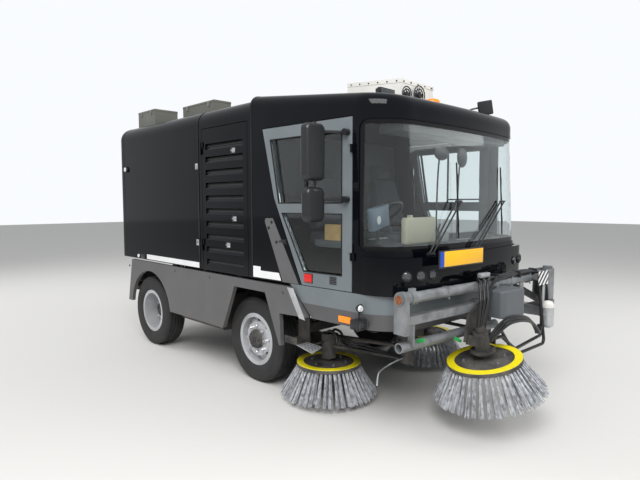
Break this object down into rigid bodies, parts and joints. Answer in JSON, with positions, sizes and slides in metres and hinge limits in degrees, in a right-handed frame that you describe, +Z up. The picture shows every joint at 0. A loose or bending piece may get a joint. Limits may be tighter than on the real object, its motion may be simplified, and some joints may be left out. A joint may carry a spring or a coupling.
{
  "type": "compact road sweeper",
  "caption": "Compact road sweeper with forward cab, side brushes, a third brush on a boom across the nose, louvred engine bay and tipping rear hopper.",
  "frame": {"origin": "on the ground, on the centre line, half way along the machine", "axes": "+X the machine's left, +Y towards its tail, +Z up; the nose looks along -Y"},
  "size_m": [2.72, 5.12, 2.7949],
  "materials": {
    "body_black": "gloss black paint",
    "panel_grey": "semi-gloss blue-grey paint",
    "skirt_grey": "satin dark grey paint",
    "cover_grey": "blue-grey moulded plastic",
    "box_grey": "dull grey-brown paint",
    "cooler_white": "white paint",
    "trim_black": "matte black plastic",
    "hose_black": "black hydraulic hose",
    "frame_black": "satin black paint",
    "galvanised": "worn galvanised steel",
    "engine_grey": "dull grey casting",
    "rod_steel": "polished hard chrome",
    "glass": "lightly tinted glazing",
    "tyre": "black rubber",
    "rim_silver": "silver painted steel",
    "bristle": "steel-grey bristles",
    "seat_fabric": "black woven cloth",
    "lamp_lens": "clear and amber lenses"
  },
  "bodies": {
    "chassis": {"chassis_frame": "frame_black", "body_mounts": "frame_black", "engine_block": "engine_grey", "front_axle": "frame_black", "rear_axle": "frame_black", "skirt_right": "skirt_grey", "skirt_left": "skirt_grey", "cab_shell": "body_black", "cab_roof": "body_black", "windscreen": "glass", "dash": "trim_black", "seat_driver": "seat_fabric", "seat_mate": "seat_fabric", "nose_panel": "body_black", "front_band": "panel_grey", "front_bumper": "skirt_grey", "engine_housing": "body_black", "side_tanks": "frame_black", "suction_mouth": "frame_black", "rear_bumper": "frame_black", "ac_unit": "cooler_white", "lamps": "lamp_lens", "wipers": "trim_black", "boom_bracket": "galvanised"},
    "knuckle_right": {"knuckle_right": "frame_black"},
    "knuckle_left": {"knuckle_left": "frame_black"},
    "wheel_front_right": {"tyre_front_right": "tyre", "rim_front_right": "rim_silver"},
    "wheel_front_left": {"tyre_front_left": "tyre", "rim_front_left": "rim_silver"},
    "wheel_rear_right": {"tyre_rear_right": "tyre", "rim_rear_right": "rim_silver"},
    "wheel_rear_left": {"tyre_rear_left": "tyre", "rim_rear_left": "rim_silver"},
    "door_right": {"door_right": "panel_grey", "door_glass_right": "glass", "mirror_right": "trim_black"},
    "door_left": {"door_left": "panel_grey", "door_glass_left": "glass", "mirror_left": "trim_black"},
    "louvre_door_right": {"louvre_door_right": "body_black"},
    "louvre_door_left": {"louvre_door_left": "body_black"},
    "hopper": {"hopper_shell": "body_black", "roof_boxes": "box_grey"},
    "hopper_door": {"hopper_door": "body_black"},
    "ram_barrels": {"ram_barrels": "frame_black"},
    "ram_rods": {"ram_rods": "rod_steel"},
    "brush_arm_right": {"brush_arm_right": "frame_black"},
    "brush_arm_left": {"brush_arm_left": "frame_black"},
    "brush_right": {"brush_right": "bristle"},
    "brush_left": {"brush_left": "bristle"},
    "boom_post": {"boom_post": "galvanised"},
    "boom_arm": {"boom_arm": "galvanised", "boom_head": "frame_black", "boom_box": "cover_grey", "boom_hoses": "hose_black"},
    "lift_barrel": {"lift_barrel": "frame_black"},
    "lift_rod": {"lift_rod": "rod_steel"},
    "brush_front": {"brush_front": "bristle"}
  },
  "joints": [
    {"name": "steer_right", "type": "hinge", "parent": "chassis", "child": "knuckle_right", "pos_m": [-0.76, -0.136, 0.4], "axis": [0, 0, 1], "range_deg": [-28, 28]},
    {"name": "steer_left", "type": "hinge", "parent": "chassis", "child": "knuckle_left", "pos_m": [0.76, -0.136, 0.4], "axis": [0, 0, 1], "range_deg": [-28, 28]},
    {"name": "wheel_front_right", "type": "hinge", "parent": "knuckle_right", "child": "wheel_front_right", "pos_m": [-0.8455, -0.136, 0.4], "axis": [1, 0, 0], "continuous": true},
    {"name": "wheel_front_left", "type": "hinge", "parent": "knuckle_left", "child": "wheel_front_left", "pos_m": [0.8455, -0.136, 0.4], "axis": [1, 0, 0], "continuous": true},
    {"name": "wheel_rear_right", "type": "hinge", "parent": "chassis", "child": "wheel_rear_right", "pos_m": [-0.9375, 1.754, 0.4], "axis": [1, 0, 0], "continuous": true},
    {"name": "wheel_rear_left", "type": "hinge", "parent": "chassis", "child": "wheel_rear_left", "pos_m": [0.9375, 1.754, 0.4], "axis": [1, 0, 0], "continuous": true},
    {"name": "door_right", "type": "hinge", "parent": "chassis", "child": "door_right", "pos_m": [-1.046, -1.429, 1.65], "axis": [0, 0, 1], "range_deg": [0, 75]},
    {"name": "door_left", "type": "hinge", "parent": "chassis", "child": "door_left", "pos_m": [1.046, -1.429, 1.65], "axis": [0, 0, -1], "range_deg": [0, 75]},
    {"name": "louvre_door_right", "type": "hinge", "parent": "chassis", "child": "louvre_door_right", "pos_m": [-1.0945, 0.531, 1.7], "axis": [0, 0, -1], "range_deg": [0, 90]},
    {"name": "louvre_door_left", "type": "hinge", "parent": "chassis", "child": "louvre_door_left", "pos_m": [1.0945, 0.531, 1.7], "axis": [0, 0, 1], "range_deg": [0, 90]},
    {"name": "hopper_tip", "type": "hinge", "parent": "chassis", "child": "hopper", "pos_m": [0, 2.264, 0.93], "axis": [-1, 0, 0], "range_deg": [0, 45]},
    {"name": "hopper_door", "type": "hinge", "parent": "hopper", "child": "hopper_door", "pos_m": [0, 2.317, 2.63], "axis": [1, 0, 0], "range_deg": [0, 90]},
    {"name": "ram_swing", "type": "hinge", "parent": "chassis", "child": "ram_barrels", "pos_m": [0, 2.014, 0.55], "axis": [-1, 0, 0], "range_deg": [0, 22.23]},
    {"name": "ram_slide", "type": "slide", "parent": "ram_barrels", "child": "ram_rods", "axis": [0, -0.4657, 0.8849], "range_m": [0, 0.2726]},
    {"name": "brush_arm_right", "type": "hinge", "parent": "chassis", "child": "brush_arm_right", "pos_m": [-0.62, -1.636, 0.5], "axis": [0, 0, -1], "range_deg": [0, 22]},
    {"name": "brush_arm_left", "type": "hinge", "parent": "chassis", "child": "brush_arm_left", "pos_m": [0.62, -1.636, 0.5], "axis": [0, 0, 1], "range_deg": [0, 22]},
    {"name": "brush_right", "type": "hinge", "parent": "brush_arm_right", "child": "brush_right", "pos_m": [-0.735, -0.891, 0.31], "axis": [0, 0, 1], "continuous": true},
    {"name": "brush_left", "type": "hinge", "parent": "brush_arm_left", "child": "brush_left", "pos_m": [0.735, -0.891, 0.31], "axis": [0, 0, 1], "continuous": true},
    {"name": "boom_swing", "type": "hinge", "parent": "chassis", "child": "boom_post", "pos_m": [0.88, -2.086, 0.95], "axis": [0, 0, 1], "range_deg": [0, 110]},
    {"name": "boom_lift", "type": "hinge", "parent": "boom_post", "child": "boom_arm", "pos_m": [0.78041, -2.07694, 1.03], "axis": [0.0906, 0.9959, 0], "range_deg": [-6, 0]},
    {"name": "lift_swing", "type": "hinge", "parent": "boom_post", "child": "lift_barrel", "pos_m": [0.76547, -2.07558, 0.8], "axis": [0.0906, 0.9959, 0], "range_deg": [-5.09, 0.05]},
    {"name": "lift_slide", "type": "slide", "parent": "lift_barrel", "child": "lift_rod", "axis": [-0.9196, 0.0837, 0.3838], "range_m": [-0.0237, 0.0005]},
    {"name": "brush_front", "type": "hinge", "parent": "boom_arm", "child": "brush_front", "pos_m": [-0.32612, -2.12083, 0.513], "axis": [-0.1838, 0.077, 0.98], "continuous": true}
  ],
  "couplings": [
    {"joint": "steer_left", "follows": "steer_right", "ratio": 1},
    {"joint": "ram_swing", "follows": "hopper_tip", "ratio": 0.49288},
    {"joint": "ram_slide", "follows": "hopper_tip", "m_per_rad": 0.34645},
    {"joint": "lift_swing", "follows": "boom_lift", "ratio": 0.84034},
    {"joint": "lift_slide", "follows": "boom_lift", "m_per_rad": 0.22111}
  ]
}
